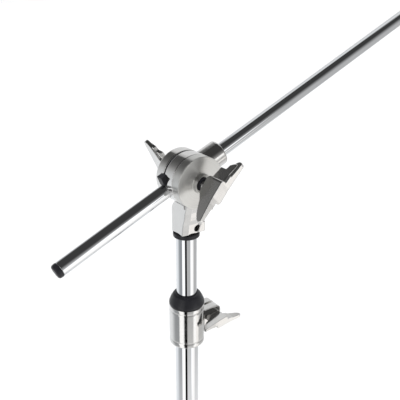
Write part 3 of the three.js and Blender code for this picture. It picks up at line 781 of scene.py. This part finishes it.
def add_tilt_screws(grip, satin, steel):
    screw_frame = moved(FRONT_FRAME, z=TILT_GRIP)
    wing_grip("tilt_wing_screw", grip, screw_frame, TILT_WINGS, 1.0, satin)
    wing_bolt("tilt_wing_screw", TILT_SCREW, TILT_SCREW_END, 2, screw_frame, steel)
    rear_frame = moved(place_at(HEAD, REAR), z=BOOM_GRIP)
    wing_grip("boom_wing_nut", grip, rear_frame, -BOOM_WINGS, 1.0, satin)
    wing_hub("boom_wing_nut", rear_frame, BOOM_HUB_RADIUS, -BOOM_HUB_LENGTH, 6, satin)


# ---- tubes ---------------------------------------------------------------------------------------

TUBE_WALLS = {"base_tube": 1.7, "mid_tube": 1.1, "upper_tube": 1.1}
BASE_RADIUS, MID_RADIUS, UPPER_RADIUS = 14.3, 11.1, 9.525
BOOM_REAR, BOOM_END, BOOM_BORE = -132, 395, 5.1     # along the boom from the tilt axis, and a radius


def add_column_tube(node, wall, chrome):
    low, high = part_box(node)
    radius = (high.x - low.x) / 2 / MM
    bottom, top = low.z / MM, high.z / MM
    tube = lathe(node + "_chromed", [
        (radius, bottom, 0.5), (radius, top, 0.5), (radius - wall, top, 0.3), (radius - wall, bottom, 0.3),
    ], COLUMN_FRAME, 0.3, ROOM_SEGMENTS)
    finish(tube, chrome, node)


def add_boom(chrome, plastic):
    tube = lathe("boom_tube_chromed", [
        (BOOM_RADIUS, BOOM_REAR, 0.4), (BOOM_RADIUS, BOOM_END, 0.4), (BOOM_BORE, BOOM_END, 0.2),
        (BOOM_BORE, BOOM_REAR, 0.2),
    ], BOOM_FRAME, 0.2, ROOM_SEGMENTS)
    finish(tube, chrome, "boom_tube")
    plug = BOOM_BORE - 0.3
    cap = lathe("boom_cap", [
        (0, BOOM_REAR - 5), (BOOM_RADIUS - 0.2, BOOM_REAR - 5, 2.2),
        (BOOM_RADIUS + 0.1, BOOM_REAR - 0.3, 0.3), (plug, BOOM_REAR - 0.3), (plug, BOOM_REAR + 10, 0.8),
        (0, BOOM_REAR + 10),
    ], BOOM_FRAME, 0.1, 64)
    finish(cap, plastic, "boom_end_cap")


# ---- tube clamps ---------------------------------------------------------------------------------

EAR_REACH, EAR_HALF_WIDTH, EAR_HEIGHT, EAR_SLIT = 17, 9, 22, 1.2
NUT_RADIUS, NUT_HEIGHT = 6.2, 5.0


def groove_ring(radius, z):
    """The room of a shallow groove round a clamp."""
    floor, outside, low, high = radius - 0.5, radius + 2, z - 0.7, z + 0.7
    profile = [(floor, low), (outside, low), (outside, high), (floor, high)]
    return lathe("groove", profile, COLUMN_FRAME, 0.1)


def add_clamp_body(prefix, bore_radius, radius, bottom, top, screw_frame, satin):
    """A sleeve with a groove near each end, and a split ear for the screw."""
    centre = (bottom + top) / 2
    ear_end = radius + EAR_REACH
    shell = lathe("clamp_shell", [
        (bore_radius, bottom), (radius, bottom, 1.4), (radius, top, 1.4), (bore_radius, top),
    ], COLUMN_FRAME, 0.3)
    low, high = centre - EAR_HEIGHT / 2, centre + EAR_HEIGHT / 2
    ear_outline = [(radius - 3, low), (ear_end, low, 6), (ear_end, high, 6), (radius - 3, high)]
    ear = prism("clamp_ear", closed_fillet(ear_outline, 0.1, 8), -EAR_HALF_WIDTH, EAR_HALF_WIDTH,
                COLUMN_FRAME @ ACROSS_TURN)
    slit = bar("clamp_slit", (0, -EAR_SLIT, bottom - 1), (ear_end + 1, EAR_SLIT, top + 1), COLUMN_FRAME)
    screw_room = rod("screw_room", CLAMP_SCREW + 0.3, -20, 20, screw_frame)
    bore = rod("bore", bore_radius, bottom - 5, top + 5, COLUMN_FRAME)
    grooves = [groove_ring(radius, z) for z in (bottom + 5, top - 5)]
    body = cast(prefix + "_casting", [shell, ear], [bore, slit, screw_room, *grooves])
    finish(body, satin, prefix + "_body")


def add_clamp_dome(prefix, inner, radius, top, plastic):
    """The domed black bush on a clamp's top."""
    dome_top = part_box(prefix + "_bush")[1].z / MM
    dome = lathe(prefix + "_dome", [
        (inner, top + 0.3), (radius, top + 0.3, 0.5), (radius, top + 2.6, 1.0),
        (radius - 1.4, top + 6.2, 3.0), (radius - 3.8, dome_top - 1.0, 1.5), (inner + 1.0, dome_top, 0.6),
        (inner, dome_top, 0.4),
    ], COLUMN_FRAME, 0.2)
    finish(dome, plastic, prefix + "_bush")


def add_tube_clamp(prefix, outer_radius, inner_radius, grip, satin, plastic, steel):
    """The clamp between a tube of the outer radius and the one that slides in it."""
    low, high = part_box(prefix + "_body")
    bottom, top = low.z / MM, high.z / MM
    radius = (high.y - low.y) / 2 / MM
    screw_place = Vector((radius + EAR_REACH / 2 + 1, 0, (bottom + top) / 2))
    screw_frame = Matrix.Translation(COLUMN + screw_place * MM) @ ACROSS_TURN
    add_clamp_body(prefix, outer_radius + 0.3, radius, bottom, top, screw_frame, satin)
    add_clamp_dome(prefix, inner_radius + 0.2, radius, top, plastic)
    front_frame = moved(screw_frame, z=EAR_HALF_WIDTH + 0.3)
    clamp_screw(prefix + "_wing_screw", grip, front_frame, -26, satin, steel)
    nut_frame = moved(screw_frame, z=-EAR_HALF_WIDTH - NUT_HEIGHT - 0.3)
    add_hex_nut(prefix + "_nut", nut_frame, CLAMP_SCREW + 0.3, steel)


def add_hex_nut(node, place, bore, steel):
    """A hexagon nut with turned corners, from the place's Z 0 up."""
    nut = prism("nut", hexagon(NUT_RADIUS), 0, NUT_HEIGHT, place)
    face, wide = NUT_RADIUS * 0.90, NUT_RADIUS + 0.1
    rounder = lathe("rounder", [(0, 0), (face, 0), (wide, NUT_HEIGHT * 0.22), (wide, NUT_HEIGHT * 0.78),
                                (face, NUT_HEIGHT), (0, NUT_HEIGHT)], place, 0)
    boolean(nut, [rounder], "INTERSECT")
    boolean(nut, [rod("nut_bore", bore, -1, NUT_HEIGHT + 1, place, 48)])
    finish(shade(nut), steel, node)


# ---- tripod --------------------------------------------------------------------------------------

LEGS = (1, 2, 3)
LEG_SPREAD = math.radians(50)
BRACE_SPREAD = math.radians(62)
BRACE_REACH = 170.0
BRACE_LENGTH = BRACE_REACH * math.sin(LEG_SPREAD) / math.sin(BRACE_SPREAD)
PIVOT_RADIUS = 30.0
FOOT_CENTRE = 14.0
COLLAR_Z = joint_point("leg_1_turn").z / MM
HUB_Z = joint_point("brace_1_turn").z / MM
LEG_LENGTH = (COLLAR_Z - FOOT_CENTRE) / math.cos(LEG_SPREAD)
RING_RADIUS = 20.0
LUG_TIP, LUG_HALF_WIDTH = 7.0, 3.5
PIN = 3.0


def strap_outline(length, width):
    """A strap along X with round ends, centred on 0 and on its length."""
    half = width / 2
    turns = [math.pi * i / 16 for i in range(17)]
    far = [(length + half * math.sin(turn), -half * math.cos(turn)) for turn in turns]
    near = [(-half * math.sin(turn), half * math.cos(turn)) for turn in turns]
    return far + near


def radial(index):
    angle = 2 * math.pi * (index - 1) / len(LEGS)
    return Vector((math.cos(angle), math.sin(angle), 0))


def lugged_ring(name, bottom, top, height, extra=(), holes=()):
    """A ring round the base tube, with a lug for each leg's pivot at the given height."""
    place = moved(COLUMN_FRAME, z=height)
    parts = [lathe("ring", [(BASE_RADIUS - 2, bottom), (RING_RADIUS, bottom, 1.5), (RING_RADIUS, top, 1.5),
                            (BASE_RADIUS - 2, top)], place, 0.3)]
    pin_holes = []
    for index in LEGS:
        out = radial(index)
        lug_frame = place_at(COLUMN + UP * height * MM + out * PIVOT_RADIUS * MM, out.cross(UP), -out)
        outline = strap_outline(PIVOT_RADIUS - RING_RADIUS + 4, 2 * LUG_TIP)
        parts.append(prism("lug", outline, -LUG_HALF_WIDTH, LUG_HALF_WIDTH, lug_frame))
        pin_holes.append(rod("pin_hole", PIN + 0.3, -9, 9, lug_frame, 48))
    bore = rod("bore", BASE_RADIUS + 0.3, bottom - 9, top + 9, place)
    return cast(name, [*parts, *extra], [bore, *pin_holes, *holes])


def add_rings(grip, satin, steel):
    hub = lugged_ring("hub_casting", -9, 9, HUB_Z)
    finish(hub, satin, "brace_hub")

    outward = (radial(1) + radial(2)).normalized()
    screw_frame = place_at(COLUMN + UP * (COLLAR_Z + 2) * MM, outward, UP)
    boss = rod("screw_boss", 7, RING_RADIUS - 3, RING_RADIUS + 6, screw_frame, 64, 0.8)
    screw_hole = rod("screw_hole", CLAMP_SCREW + 0.3, 10, RING_RADIUS + 9, screw_frame, 48)
    collar = lugged_ring("collar_casting", -9, 13, COLLAR_Z, [boss], [screw_hole])
    finish(collar, satin, "leg_collar")
    grip_frame = moved(screw_frame, z=RING_RADIUS + 6.3)
    clamp_screw("leg_collar_wing_screw", grip, grip_frame, -11.5, satin, steel, angle=math.pi / 2)


def domed_pin(name, radius, half_length, place, head=0.0):
    """A pin along the local Z, with a low domed head at each end that is wider than the pin by head."""
    wide = radius + head
    end = half_length
    neck = end - 1.4
    profile = [(0, -end), (wide, -end, 0.9), (wide, -neck, 0.2), (radius, -neck), (radius, neck),
               (wide, neck, 0.2), (wide, end, 0.9), (0, end)]
    return lathe(name, profile, place, 0.1, 48)


def add_leg(index, strip, steel, rubber):
    """Two straps either side of the pivot, joined by a block at the foot and a rivet for the brace."""
    out = radial(index)
    pivot = joint_point(f"leg_{index}_turn")
    along = out * math.sin(LEG_SPREAD) - UP * math.cos(LEG_SPREAD)
    side = along.cross(out).normalized()
    leg_frame = place_at(pivot, side, along)
    strap_end = LEG_LENGTH - 30
    outline = strap_outline(strap_end, 16)
    straps = [bevelled(prism("strap", outline, low, low + 2, leg_frame), 0.45) for low in (6, -8)]
    block = bevelled(bar("block", (strap_end - 14, -6.6, -7.6), (strap_end + 2, 6.6, 7.6), leg_frame), 0.8)
    rivet_frame = moved(leg_frame, BRACE_REACH)
    rivets = [rod("rivet", 4.5, low, low + 2.8, rivet_frame, 48, 1.1) for low in (6.8, -9.6)]
    peg_frame = place_at(pivot, along, side)
    peg = rod("peg", 5.6, strap_end, LEG_LENGTH + 2, peg_frame, 64, 0.6)
    leg = merged(f"leg_{index}_straps", [*straps, block, *rivets, peg])
    finish(leg, strip, f"leg_{index}")

    pin = domed_pin(f"leg_pin_{index}", PIN, 9.5, leg_frame, 1.2)
    finish(pin, steel, f"leg_pivot_pin_{index}")
    add_foot(index, out, peg_frame, rubber)


def add_foot(index, out, peg_frame, rubber):
    """A grooved boot on the leg's end, with a flat round pad on the floor."""
    foot_radius = PIVOT_RADIUS + LEG_LENGTH * math.sin(LEG_SPREAD)
    pad_frame = Matrix.Translation(COLUMN + out * foot_radius * MM)
    pad = lathe("pad", [
        (0, 0), (12.6, 0, 0.4), (15, 1.4, 1.2), (15, 4.0, 0.5), (14.2, 4.6, 0.4), (14.2, 5.4, 0.4),
        (15, 6.0, 0.5), (15, 7.6, 1.2), (12, 11, 2.0), (0, 11),
    ], pad_frame, 0.3)
    start, end = LEG_LENGTH - 21, LEG_LENGTH + 3
    grooves = []
    for low in (start + 6.1, start + 10.1, start + 14.1):
        grooves += [(10.0, low), (9.2, low + 0.5), (9.2, low + 1.5), (10.0, low + 2.0)]
    boot = lathe("boot", [(0, start), (9.0, start, 1.0), (10, start + 2.4, 1.0), *grooves, (10, end, 2.0),
                          (0, end)], peg_frame, 0.35)
    bore = rod("boot_bore", 5.9, start - 9, LEG_LENGTH + 2.3, peg_frame, 48)
    foot = cast(f"foot_boot_{index}", [pad, boot], [bore], 0.4, 2)
    finish(foot, rubber, f"rubber_foot_{index}")


def add_brace(index, strip, steel):
    """Two straps inside the leg's, joined by a web half way."""
    out = radial(index)
    pivot = joint_point(f"brace_{index}_turn")
    along = out * math.sin(BRACE_SPREAD) + UP * math.cos(BRACE_SPREAD)
    side = along.cross(out).normalized()
    brace_frame = place_at(pivot, side, along)
    outline = strap_outline(BRACE_LENGTH, 12)
    straps = [bevelled(prism("strap", outline, low, low + 1.7, brace_frame), 0.4) for low in (3.9, -5.6)]
    middle_x = BRACE_LENGTH / 2
    web = bevelled(bar("web", (middle_x - 12, -3, -5.1), (middle_x + 12, 3, 5.1), brace_frame), 0.8)
    brace = merged(f"brace_{index}_straps", [*straps, web])
    finish(brace, strip, f"brace_{index}")
    end_pin = domed_pin(f"end_pin_{index}", 2.6, 5.7, moved(brace_frame, BRACE_LENGTH))
    finish(end_pin, steel, f"brace_end_pin_{index}")
    hub_pin = domed_pin(f"hub_pin_{index}", PIN, 7, brace_frame, 1.2)
    finish(hub_pin, steel, f"brace_pivot_pin_{index}")


def add_end_plug(plastic):
    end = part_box("base_tube")[0].z / MM
    rim = BASE_RADIUS + 1
    plug = lathe("base_plug", [(0, end - 7), (rim, end - 7, 2.0), (rim, end - 0.3, 0.4), (12.3, end - 0.3),
                               (12.3, end + 14, 1.0), (0, end + 14)], COLUMN_FRAME, 0.2)
    finish(plug, plastic, "base_end_plug")


# ---- cymbal tilter -------------------------------------------------------------------------------

TILTER_REACH = 420.0
SOCKET_RADIUS, SOCKET_LOW, SOCKET_HIGH = 10.0, 370.0, 410.0
LUG_RADIUS, LUG_THICKNESS = 12.0, 8.0
TILTER_WING_SCALE, CYMBAL_WING_SCALE = 0.6, 0.8
TILTER = joint_point("cymbal_tilt")
TILTER_FRAME = Matrix.Translation(TILTER)
ROD_RADIUS, ROD_BOTTOM, ROD_TOP = 4.0, 15, 92
SLEEVE_TOP = 58
FELT_THICKNESS, FELT_BORE = 11, 5.9


def add_tilter_body(grip, satin, steel):
    lug_frame = place_at(BOOM_ORIGIN + BOOM_DIR * TILTER_REACH * MM, FRONT, BOOM_DIR)
    socket = lathe("socket", [(0, SOCKET_LOW), (SOCKET_RADIUS, SOCKET_LOW, 1.4),
                              (SOCKET_RADIUS, SOCKET_HIGH, 4.0), (0, SOCKET_HIGH)], BOOM_FRAME, 0.3)
    lug = rod("lug", LUG_RADIUS, 0.3, LUG_THICKNESS, lug_frame, 96, 0.9)
    arm = bar("arm", (-18, -7, 0.3), (0, 7, LUG_THICKNESS - 0.2), lug_frame)
    bore = rod("bore", BOOM_RADIUS + 0.3, SOCKET_LOW - 5, BOOM_END + 0.3, BOOM_FRAME)
    screw_hole = rod("screw_hole", CLAMP_SCREW + 0.3, -9, 20, lug_frame)
    head_room = rod("head_room", LUG_RADIUS + 1, -20, 0.3, lug_frame)
    body = cast("tilter_casting", [socket, lug, arm], [bore, screw_hole, head_room], 0.36)
    finish(body, satin, "tilter_body")
    wing_frame = moved(place_at(TILTER, FRONT), z=LUG_THICKNESS + 0.3)
    clamp_screw("tilter_wing_screw", grip, wing_frame, -15, satin, steel, scale=TILTER_WING_SCALE)


def add_tilter_head(satin):
    lug = rod("lug", LUG_RADIUS, -LUG_THICKNESS, -0.3, place_at(TILTER, FRONT), 96, 0.9)
    seat = bar("seat", (-7, 0.4, 0), (7, LUG_THICKNESS - 0.1, 15), TILTER_FRAME)
    collar = lathe("collar", [(0, 13.6), (8.5, 13.6, 1.0), (8.5, 25, 0.8), (0, 25)], TILTER_FRAME, 0.2)
    screw_hole = rod("screw_hole", CLAMP_SCREW + 0.3, -20, 9, place_at(TILTER, FRONT))
    rod_hole = rod("rod_hole", ROD_RADIUS + 0.3, 14.7, 40, TILTER_FRAME)
    head = cast("tilter_head_casting", [lug, seat, collar], [screw_hole, rod_hole], 0.36)
    finish(head, satin, "tilter_head")


def felt_ring(name, outer, low, material, node, seed):
    """A felt washer: soft corners, a slightly uneven edge and a fuzzy surface."""
    high = low + FELT_THICKNESS
    sides = 12
    wall = [(outer, low + (high - low) * i / sides) for i in range(1, sides)]
    across = 14
    top = [(outer + (FELT_BORE - outer) * i / across, high) for i in range(1, across)]
    hole = [(FELT_BORE, high, 0.8), (FELT_BORE, low, 0.8)]
    made = lathe(name, [(outer, low, 1.8), *wall, (outer, high, 1.8), *top, *hole], TILTER_FRAME, 0.1, 192)
    vertices = made.data.vertices
    draw = random.Random(seed)
    shift = Vector((draw.random(), draw.random(), draw.random()))
    normals = [vertex.normal.copy() for vertex in vertices]
    for vertex, normal in zip(vertices, normals):
        broad = perlin(vertex.co * 90 + shift * 9)
        fine = perlin(vertex.co * 700 + shift * 31)
        vertex.co += normal * (0.18 * broad + 0.10 * fine) * MM
    finish(made, material, node)


def add_cymbal_seat(grip, chrome, satin, steel, plastic, felt):
    thread = threaded("threaded_rod", ROD_RADIUS, ROD_BOTTOM, ROD_TOP, TILTER_FRAME)
    finish(thread, steel, "cymbal_rod")
    bore = ROD_RADIUS + 0.3
    washer = lathe("dished_washer", [(bore, 25.4), (13, 25.4, 3.0), (17.2, 26.2, 1.0), (18.5, 28.4, 0.3),
                                     (17.6, 28.5, 0.3), (16.4, 27.3, 1.0), (12.5, 26.9, 2.0), (bore, 26.9)],
                   TILTER_FRAME, 0.2)
    finish(washer, chrome, "cup_washer")
    tube = lathe("seat_sleeve", [(bore, 28.6), (5.6, 28.6, 0.3), (5.6, SLEEVE_TOP, 0.7),
                                 (bore, SLEEVE_TOP, 0.3)], TILTER_FRAME, 0.2)
    finish(tube, plastic, "cymbal_sleeve")
    felt_ring("felt_below", 20, 28.6, felt, "lower_felt", 3)
    felt_ring("felt_above", 18, 41.6, felt, "upper_felt", 5)
    nut_frame = moved(TILTER_FRAME, z=SLEEVE_TOP + 0.3)
    wing_grip("cymbal_wing_nut", grip, nut_frame, 0, CYMBAL_WING_SCALE, satin)
    wing_hub("cymbal_wing_nut", nut_frame, 5.6, 0, 8, satin)


# ---- the whole thing -----------------------------------------------------------------------------

def main():
    add_camera()
    studio_light()
    sun_light()
    add_floor(floor_material("floor_paint"))

    chrome = chrome_material("chrome_upright")
    boom_chrome = chrome_material("chrome_boom", BOOM_DIR)
    strip = strip_material("chrome_strip")
    satin = satin_material("satin_nickel")
    turned = turned_material("turned_nickel", HEAD)
    steel = steel_material("zinc_steel", (0.68, 0.68, 0.67))
    black_steel = steel_material("blackened_steel", (0.05, 0.05, 0.05))
    plastic = plastic_material("black_nylon")
    rubber = rubber_material("black_rubber")
    felt = felt_material("grey_felt")

    grip = wing_grip_mesh(ribbed=True)
    plain_grip = wing_grip_mesh(ribbed=False)
    add_neck(satin)
    add_ear(turned)
    add_bracket_parts(black_steel, plastic)
    add_clamp_front(satin)
    add_clamp_rear(satin)
    add_clamp_liner(plastic)
    add_tilt_screws(grip, satin, steel)
    for node, wall in TUBE_WALLS.items():
        add_column_tube(node, wall, chrome)
    add_boom(boom_chrome, plastic)
    add_tube_clamp("lower_clamp", BASE_RADIUS, MID_RADIUS, plain_grip, satin, plastic, steel)
    add_tube_clamp("upper_clamp", MID_RADIUS, UPPER_RADIUS, plain_grip, satin, plastic, steel)
    add_rings(plain_grip, satin, steel)
    for index in LEGS:
        add_leg(index, strip, steel, rubber)
        add_brace(index, strip, steel)
    add_end_plug(plastic)
    add_tilter_body(grip, satin, steel)
    add_tilter_head(satin)
    add_cymbal_seat(grip, chrome, satin, steel, plastic, felt)
    kept = {"mid_tube_guide": plastic, "upper_tube_guide": plastic, "boom_eye_bolt": steel}
    for node, material in kept.items():
        mesh = frame["nodes"][node].data
        mesh.materials.clear()
        mesh.materials.append(material)


main()
